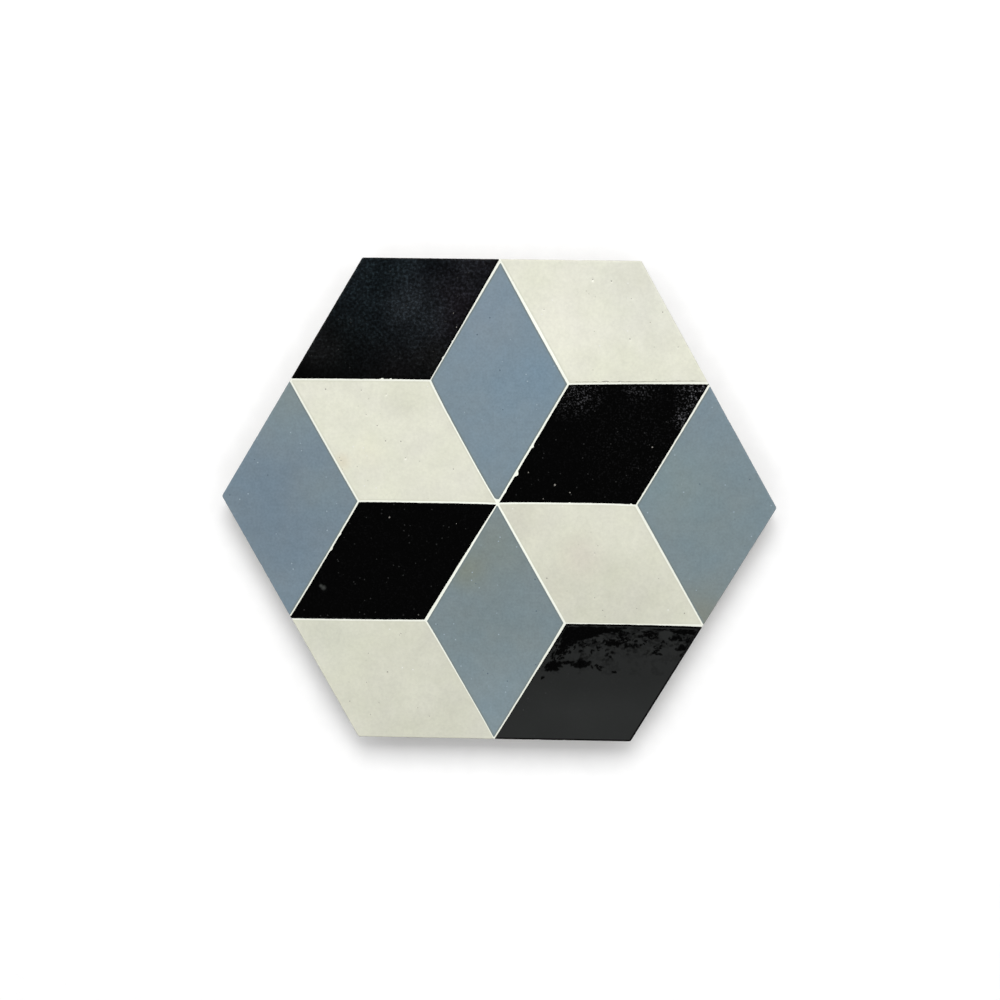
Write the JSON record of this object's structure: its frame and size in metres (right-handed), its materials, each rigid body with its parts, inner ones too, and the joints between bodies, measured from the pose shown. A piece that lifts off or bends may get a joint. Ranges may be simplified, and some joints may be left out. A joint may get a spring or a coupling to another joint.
{
  "type": "hexagon floor tile",
  "caption": "Flat hexagonal cement floor tile with an inlaid stacked-cube pattern of rhombs in black, white and grey-blue, divided by fine white lines.",
  "frame": {"origin": "centre of the tile's back, on the level that it lies on", "axes": "+Z out of the patterned face, +X from the centre to the corner at the right of the picture, +Y to the middle of the side at the top of the picture"},
  "size_m": [0.2306, 0.2, 0.016],
  "materials": {
    "pigmented_cement": "sealed satin face in black, off-white and grey-blue cement; bare grey mortar back and sides"
  },
  "bodies": {
    "root": {"hexagon_tile": "pigmented_cement"}
  },
  "joints": []
}
